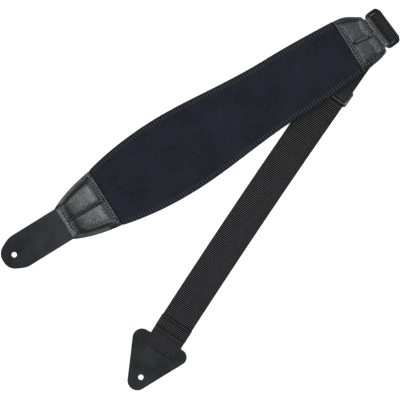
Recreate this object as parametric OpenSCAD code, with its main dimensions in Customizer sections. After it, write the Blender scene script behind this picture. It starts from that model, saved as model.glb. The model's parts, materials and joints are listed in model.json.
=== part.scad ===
// Padded shoulder strap for a guitar or bass, laid flat with its webbing folded back under the pad.
// Origin: centre of the leather tab's button hole, on the surface that the strap lies on.
// +X runs along the pad towards the ring, +Z points up.

/* [Leather tab] */
// Width of the leather tab
tab_w = 52; // [40:1:60]
// Thickness of the tab leather
tab_t = 3; // [2:0.1:4]
// Button hole to the rounded tip of the tab
tab_tip = 19; // [15:0.5:26]
// Button hole to the outer edge of the cap
tab_free = 87; // [60:1:120]
// Length of tab tucked into the cap
tab_tuck = 24; // [12:1:30]
// Diameter of both strap button holes
hole_d = 8; // [6:0.1:10]
// Length of the slit, from the middle of the hole
slit_len = 18; // [10:0.5:24]
// Width of the slit
slit_w = 0.8; // [0.4:0.1:1.2]

/* [Pad] */
// Visible length of the pad between its two caps
pad_len = 419; // [330:1:520]
// Greatest width of the pad
pad_w = 122; // [100:1:150]
// Tab cap's edge to the widest place
pad_widest = 119; // [90:1:140]
// Width at the waist, near the ring
waist_w = 98; // [80:1:120]
// Tab cap's edge to the waist
pad_waist = 304; // [200:1:320]
// Thickness of the foam core
core_t = 4.5; // [3:0.1:8]
// Thickness of the fabric on each face
skin_t = 0.6; // [0.3:0.1:1]

/* [Caps] */
// Thickness of the cap vinyl
cap_t = 1.2; // [0.8:0.1:2]
// Thickness of the foam under the front of each cap
fill_t = 1.6; // [1:0.1:3]
// Length of the tab cap
tab_cap_len = 72; // [50:1:90]
// Width of the tab cap at its outer end
tab_cap_end_w = 54; // [53:1:64]
// Width of the tab cap at the pad
tab_cap_w = 93.4; // [80:0.2:110]
// Length of the ring cap, without its tongue
ring_cap_len = 43.5; // [36:0.5:60]
// Width of the ring cap at the pad
ring_cap_w = 87; // [75:0.5:100]
// Width of the ring cap at its tongue
ring_cap_end_w = 61; // [56:0.5:70]

/* [Webbing] */
// Width of the webbing
web_w = 50; // [38:0.5:55]
// Thickness of the webbing
web_t = 1.4; // [1:0.1:2.2]
// Bend to adjuster, along the two strands
loop_len = 91; // [80:1:140]
// Adjuster to the fold at the end leather, along the single strand
drop_len = 463; // [380:1:560]
// Turn of the webbing in its own plane, under the ring cap
web_turn = 18.3; // [10:0.1:24]
// Bow of the single strand in its own plane
web_bow = 2.4; // [0:0.1:4]

/* [Ring] */
// Diameter of the ring's two bars
bar_d = 5.5; // [4:0.1:7]
// Distance between the bars, seen from above
ring_reach = 19; // [16:0.5:26]
// Width of each side arm
arm_w = 5; // [3:0.1:8]
// Height of the side arms
arm_h = 6; // [5.7:0.1:8]
// Turn of the ring on the pad
ring_yaw = 4.9; // [0:0.1:8]
// Sideways place of the ring on the pad
ring_y = -3.4; // [-6:0.1:0]

/* [Adjuster] */
// Width of each bar and slot, along the strap
glide_pitch = 5; // [4:0.1:7]
// Thickness of the middle bar
glide_bar_t = 2.4; // [2:0.1:3]
// Thickness of the front bar
glide_front_t = 2; // [1.6:0.1:3]
// Width of each side arm
glide_arm_w = 2.7; // [2:0.1:5]
// Sideways place of the adjuster on the webbing
glide_shift = 0.5; // [0:0.1:0.5]

/* [End leather] */
// Thickness of the end leather
end_t = 2.8; // [2:0.1:4]
// Radius of the lobe on the pad's side of the webbing
near_r = 13.9; // [10:0.1:18]
// Centre of that lobe: out from the middle of the webbing
near_out = 31.9; // [28:0.1:40]
// Centre of that lobe: behind the slot
near_back = 3.4; // [0:0.1:10]
// Radius of the lobe on the other side
far_r = 11.8; // [10:0.1:18]
// Centre of the other lobe: out from the middle of the webbing
far_out = 29.3; // [28:0.1:40]
// Centre of the other lobe: behind the slot
far_back = 8.5; // [0:0.1:10]
// Radius of the nose round the button hole
nose_r = 14.6; // [12:0.1:20]
// Slot to the centre of the nose
nose_at = 53.5; // [42:0.1:70]
// Centre of the nose: off the middle of the webbing
nose_off = 3.6; // [0:0.1:6]
// Slot to the button hole
hole_at = 46.7; // [34:0.1:60]
// Button hole: off the middle of the webbing
hole_off = 1.8; // [0:0.1:4]

/* [Hidden] */

// fits: running clearance on the bars, slack beside the webbing, gap between pieces on different bodies
fit = 0.1;
side_slack = 0.8;
gap = 0.3;
// spacing of the stations along the long curves
station = 10;
// thread of the stitching, and where its rows run
thread_w = 0.7;
thread_h = 0.25;
row_edge = 4;
row_step = 3;
cap_row = 7;
tall = 60;

// places along the pad
cap_x = tab_free;
pad_x = cap_x + tab_cap_len;
cap2_x = pad_x + pad_len;
tongue_x = cap2_x + ring_cap_len;
ring_x = tongue_x + 5;
pad_t = core_t + 2 * skin_t;
tuck_x = cap_x + tab_tuck;
pad_start = tuck_x + 2;
bar_room = bar_d / 2 + 1.5;
keeper_t = fill_t;
keeper_len = 14;
tail_x = ring_x - keeper_len;

// heights of the webbing at the ring and of everything in the adjuster
bar_r = bar_d / 2;
wrap_r = bar_r + fit;
keeper_seat = max(pad_t / 2, wrap_r);
keeper_room = keeper_t + keeper_seat - pad_t / 2;
outer_z = web_t + wrap_r;
upper_z = web_t + gap;
glide_z = web_t + fit;
fold_top = glide_z + glide_bar_t + fit;
front_z = glide_z + web_t + 2 * fit;
over_z = max(fold_top + web_t + fit, front_z + glide_front_t + fit);
rise_z = over_z + web_t + cap_t + 0.4;
inner_z = rise_z + pad_t / 2;
ring_pitch = norm([ring_reach, inner_z - outer_z]);
ring_tilt = atan2(inner_z - outer_z, ring_reach);
arm_over = arm_h / 2 + 0.2;
arm_room = norm([arm_over, arm_h / 2]) + 0.8;

// the upper strand drops from the ring's outer bar at this angle
dive = 14;
dive_z = outer_z + wrap_r * cos(dive);
dive_run = wrap_r * sin(dive) + (dive_z - upper_z) / tan(dive);
turn_at = dive_run + 2;
turn_r = web_w / 2 + 7;

// strands: place and heading of the turn's end, the adjuster and the fold at the end leather
strand_yaw = ring_yaw + web_turn;
outer_p = [ring_x, ring_y] + ring_reach * heading(ring_yaw);
turn_p = outer_p - turn_at * heading(ring_yaw);
strand_p = turn_p + turn_r * (heading(strand_yaw + 90) - heading(ring_yaw + 90));
glide_p = strand_p - loop_len * heading(strand_yaw);
end_yaw = strand_yaw + web_bow;
chord_yaw = strand_yaw + web_bow / 2;
end_p = glide_p - drop_len * heading(chord_yaw);

// adjuster layout along the strap, from its middle bar
glide_half = 2.5 * glide_pitch;
glide_in = web_w + side_slack * 2;
fold_len = glide_half + 9.5;
pass_len = glide_half + 1.8;
wrap_u = glide_pitch / 2 + fit;
drop_u = wrap_u + web_t + 0.5;

// end of the webbing: sewn overlap, flexing part and the sleeve through the leather's slot
overlap_len = 50;
flex_len = 30;
back_u = max(near_r + near_back, far_r + far_back);
slot_room = 0.8;
end_z = web_t + gap;
sleeve_z = end_z + end_t + gap;
lie_from = 4;
lie_to = 20;

// the pad climbs over the adjuster's whole travel
rise_to = glide_p.x - 73;
rise_from = rise_to - 105;

function heading(a) = [cos(a), sin(a)];
function smooth(a, b, x) = let (t = min(1, max(0, (x - a) / (b - a)))) t * t * (3 - 2 * t);
function hermite(a, b, fa, fb, sa, sb, x) =
    let (h = b - a, t = (x - a) / h, u = t * t, v = u * t)
    fa * (2 * v - 3 * u + 1) + sa * h * (v - 2 * u + t) + fb * (3 * u - 2 * v) + sb * h * (v - u);
function bezier(p, t) =
    let (s = 1 - t) p[0] * s * s * s + p[1] * 3 * s * s * t + p[2] * 3 * s * t * t + p[3] * t * t * t;
function arc(c, r, a, b, n) = [for (i = [0 : n]) c + r * heading(a + (b - a) * i / n)];
function stations(a, b) =
    concat([a], [for (i = [ceil(a / station + 0.1) : floor(b / station - 0.1)]) i * station], [b]);
function flip(p) = [for (i = [len(p) - 1 : -1 : 0]) p[i]];
function mirror_y(p) = [for (q = p) [q.x, -q.y]];

// height of the pad's underside above the surface
function lift(x) = cap_t * (1 - smooth(pad_x + 6, pad_x + 46, x)) + rise_z * smooth(rise_from, rise_to, x);
// half width of the pad between its caps
function pad_half(x) =
    let (a = pad_x + pad_widest, b = pad_x + pad_waist)
    x < a ? hermite(pad_x, a, tab_cap_w / 2 + 0.6, pad_w / 2, 0.25, 0, x)
    : x < b ? hermite(a, b, pad_w / 2, waist_w / 2, 0, 0, x)
    : hermite(b, cap2_x, waist_w / 2, ring_cap_w / 2 + 0.6, 0, -0.07, x);
function tab_cap_half(x) = hermite(cap_x, pad_x, tab_cap_end_w / 2, tab_cap_w / 2, 0.48, 0.12, x);
function ring_cap_half(x) = hermite(cap2_x, tongue_x, ring_cap_w / 2, ring_cap_end_w / 2, -0.02, -0.62, x);
// half width of the pad all the way, a little inside the caps
function body_half(x) =
    x < pad_x ? tab_cap_half(x) - 2
    : x > cap2_x ? ring_cap_half(min(x, tongue_x)) - 2 - 2 * smooth(tongue_x - 6, tongue_x, x)
    : pad_half(x) - 2 * (1 - smooth(pad_x, pad_x + 1, x)) - 2 * smooth(cap2_x - 1, cap2_x, x);

// underside of the tab, which climbs on to the cap's back
function tab_back(x) = cap_t * smooth(cap_x - 3 * station, cap_x - station + 2, x);
// underside of the cap fronts, over the tab, the foam and the pad
function tab_front(x) =
    x < pad_start ? cap_t + tab_t + (pad_t + fill_t - tab_t) * smooth(cap_x + 3, pad_start - 4, x)
    : cap_t + pad_t + fill_t * (1 - smooth(pad_x - 14, pad_x - 4, x));
function ring_front(x) = lift(x) + pad_t + keeper_room * smooth(cap2_x + 4, cap2_x + 14, x);
function ring_back(x) = lift(x) - keeper_room * smooth(tail_x - 2 * station, tail_x - station - 3, x);

// a strip of thickness t that leans to the right of a path
function side(a, b) = let (d = (b - a) / norm(b - a)) [d.y, -d.x];
function strip(path, t) =
    let (n = len(path) - 1)
    concat(path, flip([for (i = [0 : n])
        let (a = side(path[max(i - 1, 0)], path[max(i, 1)]), b = side(path[min(i, n - 1)], path[min(i + 1, n)]))
        path[i] + t * (a + b) / (1 + a * b)]));

module along_y(w) { rotate([90, 0, 0]) linear_extrude(height = w, center = true) children(); }
module outline(a, b, half) {
    edge = [for (x = stations(a, b)) [x, half(x)]];
    polygon(concat(mirror_y(edge), flip(edge)));
}
// a layer between two height curves, cut to a plan outline; all layers share their stations, so they meet
module layer(a, b, low, high) {
    xs = [for (i = [floor(a / station) : ceil(b / station)]) i * station];
    intersection() {
        along_y(2 * pad_w) polygon(concat([for (x = xs) [x, low(x)]], flip([for (x = xs) [x, high(x)]])));
        linear_extrude(height = tall) children();
    }
}
module on_ring() { translate([ring_x, ring_y]) rotate(ring_yaw) children(); }
// a plan outline with room for the ring's arms to swing beside the tongue
module beside_arms() {
    difference() {
        children();
        for (m = [0, 1]) on_ring() mirror([0, m]) translate([-arm_room, web_w / 2 + gap]) square([tall, pad_w]);
    }
}
module at_ring() { translate([ring_x, ring_y, 0]) rotate([0, 0, ring_yaw]) children(); }
module at_strand() { translate([strand_p.x, strand_p.y, 0]) rotate([0, 0, strand_yaw]) children(); }
module at_glide() { translate([glide_p.x, glide_p.y, 0]) rotate([0, 0, strand_yaw]) children(); }
module at_end() { translate([end_p.x, end_p.y, 0]) rotate([0, 0, end_yaw + 180]) children(); }

// ---- leather tab
module tab_plan() {
    nose = [for (i = [0 : 8]) bezier([[-tab_tip, 0], [-tab_tip, 9.5], [4 - tab_tip, 15.5], [11 - tab_tip, 19.2]], i / 8)];
    shoulder = [for (i = [1 : 8])
        bezier([[11 - tab_tip, 19.2], [18 - tab_tip, 22.9], [24 - tab_tip, tab_w / 2], [31 - tab_tip, tab_w / 2]], i / 8)];
    edge = concat([for (p = concat(nose, shoulder)) [p.x, min(p.y, tab_w / 2)]], [[tuck_x, tab_w / 2]]);
    polygon(concat(edge, flip([for (i = [1 : len(edge) - 1]) [edge[i].x, -edge[i].y]])));
}
module tab_leather() color("#29282b") difference() {
    layer(-tab_tip - 1, tuck_x, function(x) tab_back(x), function(x) tab_back(x) + tab_t) tab_plan();
    translate([0, 0, -1]) cylinder(d = hole_d, h = tab_t + 2, $fn = 64);
    translate([0, -slit_w / 2, -1]) cube([slit_len, slit_w, tab_t + 2]);
}

// ---- cap on the tab end
module tab_cap_front() color("#3b3f42")
    layer(cap_x, pad_x, function(x) tab_front(x), function(x) tab_front(x) + cap_t)
        outline(cap_x, pad_x, function(x) tab_cap_half(x));
module tab_cap_back() color("#33363a")
    layer(cap_x, pad_x, function(x) 0, function(x) cap_t) outline(cap_x, pad_x, function(x) tab_cap_half(x));
module tab_cap_padding() color("#55585c")
    layer(pad_start + 1, pad_x - 6, function(x) cap_t + pad_t, function(x) tab_front(x))
        outline(pad_start + 1, pad_x - 6, function(x) tab_cap_half(x) - 2);
module tab_cap_stitching() color("#6a6f73")
    layer(cap_x + cap_row, pad_x - row_edge, function(x) tab_front(x) + cap_t,
        function(x) tab_front(x) + cap_t + thread_h) difference() {
        outline(cap_x + cap_row, pad_x - row_edge, function(x) tab_cap_half(x) - cap_row);
        outline(cap_x + cap_row + thread_w, pad_x - row_edge - thread_w,
            function(x) tab_cap_half(x) - cap_row - thread_w);
    }

// ---- laminated pad
module pad_layer(low, high) {
    layer(pad_start, ring_x, function(x) lift(x) + low, function(x) lift(x) + high) beside_arms() difference() {
        outline(pad_start, ring_x, function(x) body_half(x));
        on_ring() translate([-bar_room, -pad_w]) square([tall, 2 * pad_w]);
    }
}
module pad_backing() color("#202024") pad_layer(0, skin_t);
module pad_core() color("#101012") pad_layer(skin_t, skin_t + core_t);
module pad_face() color("#282832") pad_layer(skin_t + core_t, pad_t);
module pad_row(inset) {
    for (m = [0, 1]) mirror([0, m, 0]) {
        xs = stations(pad_x + 2, cap2_x - 2);
        polygon(concat([for (x = xs) [x, pad_half(x) - inset - thread_w]],
            flip([for (x = xs) [x, pad_half(x) - inset]])));
    }
}
module pad_stitching() color("#4a4a58")
    layer(pad_x + 2, cap2_x - 2, function(x) lift(x) + pad_t + 0.05, function(x) lift(x) + pad_t + thread_h) {
        union() {
            pad_row(row_edge);
            pad_row(row_edge + row_step);
        }
    }

// ---- cap on the ring end, with a tongue between the ring's arms
module ring_cap_plan() beside_arms() {
    outline(cap2_x, tongue_x, function(x) ring_cap_half(x));
    on_ring() translate([-keeper_len - 2, -web_w / 2]) square([keeper_len + 2, web_w]);
}
module ring_cap_front() color("#3b3f42")
    layer(cap2_x, ring_x + 4, function(x) ring_front(x), function(x) ring_front(x) + cap_t) ring_cap_plan();
module ring_cap_back() color("#33363a")
    layer(cap2_x, ring_x + 4, function(x) ring_back(x) - cap_t, function(x) ring_back(x)) ring_cap_plan();
module ring_cap_padding() color("#55585c")
    layer(cap2_x + 6, tongue_x - 1, function(x) lift(x) + pad_t, function(x) ring_front(x)) beside_arms()
        difference() {
            outline(cap2_x + 6, tongue_x - 1, function(x) ring_cap_half(x) - 2);
            on_ring() translate([-keeper_len - gap, -web_w / 2 - gap]) square([tall, web_w + 2 * gap]);
        }
module ring_cap_stitching() color("#6a6f73")
    layer(cap2_x + row_edge, tongue_x - cap_row, function(x) ring_front(x) + cap_t,
        function(x) ring_front(x) + cap_t + thread_h) difference() {
        outline(cap2_x + row_edge, tongue_x - cap_row, function(x) ring_cap_half(x) - cap_row);
        outline(cap2_x + row_edge + thread_w, tongue_x - cap_row - thread_w,
            function(x) ring_cap_half(x) - cap_row - thread_w);
    }
module ring_keeper() color("#45494d") {
    path = concat([[-keeper_len, -keeper_seat], [-arm_room, -keeper_seat]], arc([0, 0], wrap_r, -90, 90, 30),
        [[-arm_room, keeper_seat], [-keeper_len, keeper_seat]]);
    at_ring() translate([0, 0, inner_z]) along_y(web_w) polygon(strip(path, keeper_t));
}

// ---- rectangular ring: two round bars between two rounded arms
module ring_arm() {
    round_r = 8;
    inner = glide_in / 2;
    outer = inner + arm_w;
    linear_extrude(height = arm_h, center = true) intersection() {
        translate([-arm_over, inner]) square([ring_pitch + 2 * arm_over, arm_w]);
        union() {
            for (x = [round_r - arm_over, ring_pitch + arm_over - round_r]) translate([x, outer - round_r])
                circle(r = round_r, $fn = 96);
            translate([round_r - arm_over, 0]) square([ring_pitch + 2 * arm_over - 2 * round_r, outer]);
            translate([-arm_over, 0]) square([ring_pitch + 2 * arm_over, outer - round_r]);
        }
    }
}
module ring() color("#17181a") at_ring() translate([0, 0, inner_z]) rotate([0, ring_tilt, 0]) union() {
    for (m = [0, 1]) mirror([0, m, 0]) ring_arm();
    for (x = [0, ring_pitch]) translate([x, 0, 0]) rotate([90, 0, 0])
        cylinder(r = bar_r, h = glide_in + 3, center = true, $fn = 64);
}

// ---- webbing round the ring's outer bar, with its turn under the cap
module turn(z) {
    steps = 8;
    ends = [turn_r - web_w / 2, turn_r + web_w / 2];
    arcs = [for (r = ends) arc([-turn_at, -turn_r], r, 90, 90 + web_turn, steps)];
    translate([0, 0, z]) linear_extrude(height = web_t) polygon(concat(arcs[0], flip(arcs[1])));
}
module ring_webbing() color("#2b2c30") at_ring() translate([ring_reach, 0, 0]) union() {
    path = concat([[-turn_at, web_t]], arc([0, outer_z], wrap_r, -90, 90 + dive, 34),
        [[-dive_run, upper_z], [-turn_at, upper_z]]);
    along_y(web_w) polygon(strip(path, web_t));
    turn(0);
    turn(upper_z);
}

// ---- the two strands from the turn to the adjuster
module short_strand() color("#2b2c30") at_strand()
    translate([fold_len + gap - loop_len, -web_w / 2, 0]) cube([loop_len - fold_len - 2 * gap, web_w, web_t]);
module long_strand() color("#303136") at_strand() {
    start = loop_len - pass_len - gap;
    path = [for (i = [0 : 20]) let (x = -gap - (start - gap) * i / 20)
        [x, upper_z + (over_z - upper_z) * smooth(loop_len - fold_len - 16, start - 0.6, -x)]];
    along_y(web_w) polygon(strip(path, web_t));
}

// ---- adjuster with three bars, the sewn fold on its middle bar and the strand that runs through it
module adjuster() color("#1b1c1e") at_glide() translate([0, glide_shift, 0]) {
    half = glide_in / 2;
    arm_top = front_z + glide_front_t;
    difference() {
        union() {
            for (s = [-1, 1]) translate([-glide_half, s > 0 ? half : -half - glide_arm_w, glide_z])
                cube([2 * glide_half, glide_arm_w, arm_top - glide_z]);
            translate([-glide_pitch / 2, -half - 1, glide_z]) cube([glide_pitch, 2 * half + 2, glide_bar_t]);
            translate([1.5 * glide_pitch, -half - 1, front_z]) cube([glide_pitch, 2 * half + 2, glide_front_t]);
            translate([-glide_half, -half - 1, glide_z + fit]) cube([glide_pitch, 2 * half + 2, glide_bar_t + 0.6]);
        }
        for (u = [-1, 1], v = [-1, 1]) translate([u * glide_half, v * (half + glide_arm_w), 0])
            rotate([0, 0, 45]) cube([3, 3, tall], center = true);
    }
}
module adjuster_fold() color("#26272b") at_glide() {
    ease = 0.15;
    path = [[fold_len, web_t], [ease - wrap_u, web_t], [-wrap_u, web_t + ease],
        [-wrap_u, fold_top - ease], [ease - wrap_u, fold_top], [wrap_u, fold_top],
        [1.5 * glide_pitch - 1, glide_z], [fold_len, glide_z]];
    along_y(web_w) polygon(strip(path, -web_t));
}
module adjuster_pass() color("#303136") at_glide() {
    foot = drop_u + web_t + 0.8;
    path = concat([[pass_len, over_z]], arc([1.5 - drop_u, over_z - 1.5], 1.5, 90, 180, 6),
        arc([-foot, web_t + 0.8], web_t + 0.8, 0, -90, 6), [[-pass_len, 0]]);
    along_y(web_w) polygon(strip(path, web_t));
}
module adjuster_stitching() color("#5a5c62") at_glide()
    for (u = [fold_len - 3, fold_len - 7]) translate([u, -web_w / 2 + 3, glide_z + web_t])
        cube([thread_w, web_w - 6, thread_h / 2]);

// ---- single strand, bowed a little in its own plane
function drop_line(s) = let (t = s / drop_len)
    glide_p - s * heading(strand_yaw + web_bow * t / 2);
function drop_yaw(s) = strand_yaw + web_bow * s / drop_len;
module drop_strand() color("#303136") {
    a = pass_len + gap;
    b = drop_len - overlap_len - gap;
    ss = [for (i = [0 : 20]) a + (b - a) * i / 20];
    edge = [for (k = [-1, 1]) [for (s = ss) drop_line(s) + k * web_w / 2 * heading(drop_yaw(s) + 90)]];
    linear_extrude(height = web_t) polygon(concat(edge[0], flip(edge[1])));
}

// ---- sewn overlap, and the sleeve that goes up through the leather's slot
module end_overlap() color("#2c2d31") at_end()
    for (z = [0, web_t]) translate([-overlap_len, -web_w / 2, z]) cube([overlap_len - flex_len - gap, web_w, web_t]);
module end_stitching() color("#5a5c62") at_end()
    for (u = [-overlap_len + 3.5, -overlap_len + 17]) translate([u, -web_w / 2 + 2, 2 * web_t])
        cube([thread_w, web_w - 4, thread_h]);
module end_fold() color("#2c2d31") at_end() {
    path = [[-flex_len, web_t], [-web_t - 0.7, web_t], [-web_t - 0.1, web_t + 0.6],
        [-web_t - 0.1, sleeve_z - 0.6], [-web_t - 0.7, sleeve_z], [-back_u - 1.5, sleeve_z],
        [4 - flex_len, web_t + fit], [-flex_len, web_t + fit]];
    along_y(web_w) polygon(strip(path, web_t));
}

// ---- three-lobed end leather: outer tangents join the lobes
function tangent(a, ra, b, rb) =
    let (d = b - a, l = norm(d), w = atan2(d.y, d.x) - acos((ra - rb) / l))
    [a + ra * heading(w), b + rb * heading(w)];
module end_plan() {
    c = [[-near_back, -near_out], [nose_at, -nose_off], [-far_back, far_out]];
    r = [near_r, nose_r, far_r];
    for (i = [0 : 2]) translate(c[i]) circle(r = r[i], $fn = 96);
    polygon([for (i = [0 : 2]) each tangent(c[i], r[i], c[(i + 1) % 3], r[(i + 1) % 3])]);
}
module end_leather() color("#323a38") at_end() difference() {
    intersection() {
        along_y(2 * pad_w) polygon(concat(
            [for (x = end_stations()) [x, end_rest(x)]], flip([for (x = end_stations()) [x, end_rest(x) + end_t]])));
        linear_extrude(height = tall) end_plan();
    }
    translate([-web_t - slot_room, -web_w / 2 - side_slack, -1])
        cube([web_t + 2 * slot_room, web_w + 2 * side_slack, tall]);
    translate([hole_at, -hole_off, -1]) cylinder(d = hole_d, h = tall, $fn = 64);
}
function end_rest(x) = end_z * (1 - smooth(lie_from, lie_to, x));
function end_stations() = concat([-back_u - 5], [for (i = [0 : 8]) lie_from + (lie_to - lie_from) * i / 8],
    [nose_at + nose_r + 5]);

tab_leather();
tab_cap_front();
tab_cap_back();
tab_cap_padding();
tab_cap_stitching();
pad_face();
pad_core();
pad_backing();
pad_stitching();
ring_cap_front();
ring_cap_back();
ring_cap_padding();
ring_cap_stitching();
ring_keeper();
ring();
ring_webbing();
short_strand();
long_strand();
adjuster();
adjuster_fold();
adjuster_pass();
adjuster_stitching();
drop_strand();
end_overlap();
end_stitching();
end_fold();
end_leather();
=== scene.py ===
"""A padded guitar strap laid flat: leather tab, foam pad in vinyl caps, ring, webbing, adjuster, leather end."""
import json
import math

import bmesh
import bpy
import numpy as np
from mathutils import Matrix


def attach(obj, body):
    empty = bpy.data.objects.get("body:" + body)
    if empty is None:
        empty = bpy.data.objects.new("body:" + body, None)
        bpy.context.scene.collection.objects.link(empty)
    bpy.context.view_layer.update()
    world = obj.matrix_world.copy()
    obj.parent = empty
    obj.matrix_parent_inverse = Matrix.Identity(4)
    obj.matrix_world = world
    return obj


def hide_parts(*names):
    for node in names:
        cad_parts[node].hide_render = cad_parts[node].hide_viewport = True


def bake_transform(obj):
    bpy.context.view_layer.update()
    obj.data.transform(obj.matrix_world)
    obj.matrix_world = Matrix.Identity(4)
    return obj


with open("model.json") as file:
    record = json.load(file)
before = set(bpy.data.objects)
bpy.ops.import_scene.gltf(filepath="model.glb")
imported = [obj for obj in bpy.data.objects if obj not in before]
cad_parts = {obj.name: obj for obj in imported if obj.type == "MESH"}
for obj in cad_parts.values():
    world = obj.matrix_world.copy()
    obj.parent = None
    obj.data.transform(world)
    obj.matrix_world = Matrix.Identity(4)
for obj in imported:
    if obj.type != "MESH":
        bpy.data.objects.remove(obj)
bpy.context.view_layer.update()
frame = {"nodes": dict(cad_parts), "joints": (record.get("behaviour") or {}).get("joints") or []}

joints = {joint["name"]: joint for joint in frame["joints"]}


# ---------------------------------------------------------------- studio
# A white table top under a pale, even sky, with three broad soft boxes round the strap and two small ones over
# its caps. The camera hangs straight above the strap, turned so that the pad climbs to the right.
VIEW_TURN = math.radians(31.8)
VIEW_PLACE = (0.2754, -0.0757, 1.64)
TABLE_HALF = 6
TABLE_Z = -0.0004
UP = np.array((0, 0, 1.0))


class Wire:
    """One output of a material's nodes. Arithmetic on it adds Math nodes to the same material."""

    def __init__(self, look, socket):
        self.look, self.socket = look, socket

    def math(self, operation, *values):
        return self.look.node("Math", {"operation": operation}, dict(enumerate(values)))

    def __add__(self, other): return self.math("ADD", self, other)
    def __radd__(self, other): return self.math("ADD", other, self)
    def __sub__(self, other): return self.math("SUBTRACT", self, other)
    def __rsub__(self, other): return self.math("SUBTRACT", other, self)
    def __mul__(self, other): return self.math("MULTIPLY", self, other)
    def __rmul__(self, other): return self.math("MULTIPLY", other, self)
    def __pow__(self, other): return self.math("POWER", self, other)
    def sine(self): return self.math("SINE", self)
    def clipped(self): return self.look.node("Clamp", {}, {"Value": self})

    def between(self, low, high):
        """0 below low, 1 above high, and a smooth step between them."""
        return self.look.node("MapRange", {"interpolation_type": "SMOOTHSTEP"},
                              {"Value": self, "From Min": low, "From Max": high})


class Look:
    """A material: a Principled shader, and the nodes that its expressions add."""

    def __init__(self, name, **constants):
        self.material = bpy.data.materials.new(name)
        self.material.use_nodes = True
        self.tree = self.material.node_tree
        self.shader = self.tree.nodes["Principled BSDF"]
        for socket, value in constants.items():
            self.shader.inputs[socket.replace("_", " ")].default_value = value

    def node(self, kind, settings, sockets, out=0):
        """A node of a kind, with its settings made first and then its sockets' values or links."""
        node = self.tree.nodes.new("ShaderNode" + kind)
        for setting, value in settings.items():
            setattr(node, setting, value)
        for socket, value in sockets.items():
            if isinstance(value, Wire):
                self.tree.links.new(value.socket, node.inputs[socket])
            else:
                node.inputs[socket].default_value = value
        return Wire(self, node.outputs[out])

    def place(self):
        return self.node("TexCoord", {}, {}, "Object")

    def noise(self, scale, detail=3, roughness=0.55, vector=None):
        """Cloudy noise with about scale bumps a metre."""
        return self.node("TexNoise", {}, {"Vector": vector or self.place(), "Scale": scale, "Detail": detail,
                                          "Roughness": roughness}, "Fac")

    def cells(self, scale):
        """The distance to the nearest cell centre, with about scale cells a metre."""
        return self.node("TexVoronoi", {}, {"Vector": self.place(), "Scale": scale}, "Distance")

    def part(self, axis, vector=None):
        """One of X, Y or Z of a vector."""
        return self.node("SeparateXYZ", {}, {"Vector": vector or self.place()}, axis)

    def mix(self, share, first, second):
        """The first colour where share is 0, and the second where it is 1."""
        colour = [value if isinstance(value, Wire) else (*value, 1) for value in (first, second)]
        return self.node("Mix", {"data_type": "RGBA"}, {0: share, 6: colour[0], 7: colour[1]}, 2)

    def feed(self, **wires):
        """Links wires to the shader's sockets, such as Base_Color."""
        for socket, wire in wires.items():
            self.tree.links.new(wire.socket, self.shader.inputs[socket.replace("_", " ")])
        return self

    def bump(self, height, depth):
        """Bends the shader's normal as a surface of that height, times depth in metres."""
        return self.feed(Normal=self.node("Bump", {}, {"Height": height, "Distance": depth, "Strength": 1.0}))


def stand(name, data):
    """A new object in the scene, at the origin."""
    thing = bpy.data.objects.new(name, data)
    bpy.context.scene.collection.objects.link(thing)
    return thing


camera = stand("camera", bpy.data.cameras.new("camera"))
camera.data.lens = 100
camera.data.sensor_width = 36
camera.location = VIEW_PLACE
camera.rotation_euler = (0, 0, -VIEW_TURN)
bpy.context.scene.camera = camera
bpy.context.scene.view_settings.view_transform = "Standard"

table = stand("table", bpy.data.meshes.new("table"))
table.data.from_pydata([(TABLE_HALF * x, TABLE_HALF * y, TABLE_Z) for x, y in ((-1, -1), (1, -1), (1, 1), (-1, 1))],
                       [], [(0, 1, 2, 3)])
table.data.materials.append(Look("table_white", Base_Color=(0.93, 0.93, 0.93, 1), Roughness=0.8,
                                 Emission_Color=(1, 1, 1, 1), Emission_Strength=0.55).material)
table.visible_diffuse = table.visible_glossy = False

sky = bpy.data.worlds.new("sky")
sky.use_nodes = True
sky.node_tree.nodes["Background"].inputs["Color"].default_value = (0.97, 0.985, 1.0, 1)
sky.node_tree.nodes["Background"].inputs["Strength"].default_value = 0.2
bpy.context.scene.world = sky


def soft_box(name, place, aim, size, watts, colour=(1, 1, 1)):
    """A square area light at place, turned so that it faces aim."""
    light = stand(name, bpy.data.lights.new(name, "AREA"))
    light.data.size, light.data.energy, light.data.color = size, watts, colour
    light.location = place
    towards = np.array(aim, float) - place
    light.rotation_euler = (math.acos(-towards[2] / np.linalg.norm(towards)), 0,
                            math.atan2(towards[1], towards[0]) - math.pi / 2)


soft_box("soft_box_tab", (-0.55, 0.75, 1.35), (0.2, 0, 0), 1.2, 10)
soft_box("soft_box_low", (0.20, -1.15, 1.25), (0.2, 0, 0), 1.2, 11)
soft_box("soft_box_ring", (1.35, 0.55, 1.3), (0.5, 0, 0), 0.9, 3.5)
soft_box("soft_box_over_tab", (0.135, 0.09, 1.6), (0.12, 0, 0), 0.26, 5.5, (0.84, 0.93, 1))
soft_box("soft_box_over_ring", (0.66, 0.08, 1.6), (0.6, 0, 0), 0.28, 1.8, (0.9, 0.92, 1))


# ---------------------------------------------------------------- leather tab
# A strip of charcoal harness leather with a rounded nose, a punched strap-button hole and a slit that lets the
# button's head through. Its edges are burnished round, and its other end is sewn in between the two cap vinyls.
TAB_THICK = 0.003
TAB_END = 0.111
TAB_HALF = 0.026
TAB_CORNER = 0.002
HOLE_R = 0.004
SLIT = ((0.002, 0.018), (-0.0003, 0.0003), (-0.002, 0.006))
SLIT_SLANT = 0.35
TAB_EDGE = 0.0009
CAP_X = 0.087
CAP_THICK = 0.0012


def smooth(a, b, x):
    """0 below a, 1 above b, with 3t^2 - 2t^3 between them."""
    t = np.clip((x - a) / (b - a), 0, 1)
    return t * t * (3 - 2 * t)


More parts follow.
